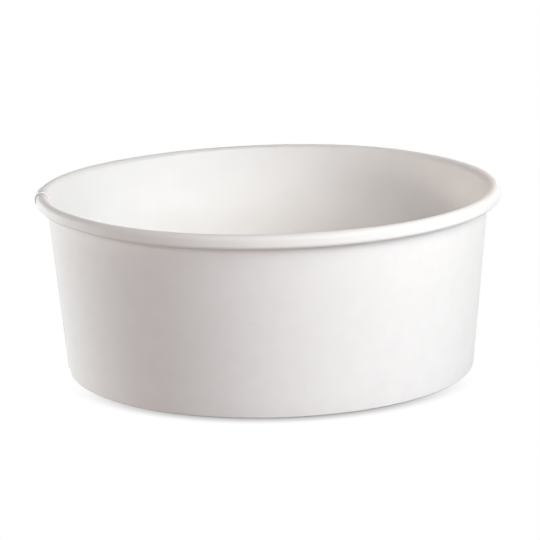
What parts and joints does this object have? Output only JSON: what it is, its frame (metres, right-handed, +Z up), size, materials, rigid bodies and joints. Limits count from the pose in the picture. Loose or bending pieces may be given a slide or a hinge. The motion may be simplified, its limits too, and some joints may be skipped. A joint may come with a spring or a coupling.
{
  "type": "paper sundae cup",
  "caption": "Wide, shallow paper cup with a rolled rim, a lapped side seam and a recessed base, for serving ice cream or other food.",
  "frame": {"origin": "centre of the ring that the cup stands on", "axes": "+Z up along the cup's axis, -X towards the lapped side seam, -Y towards the viewer"},
  "size_m": [0.15, 0.15, 0.059],
  "materials": {
    "wall_board": "white cup board with a thin clear plastic coating on the food side",
    "base_board": "white cup board with a thin clear plastic coating on the food side"
  },
  "bodies": {
    "root": {"side_wall": "wall_board", "base_disc": "base_board"}
  },
  "joints": []
}
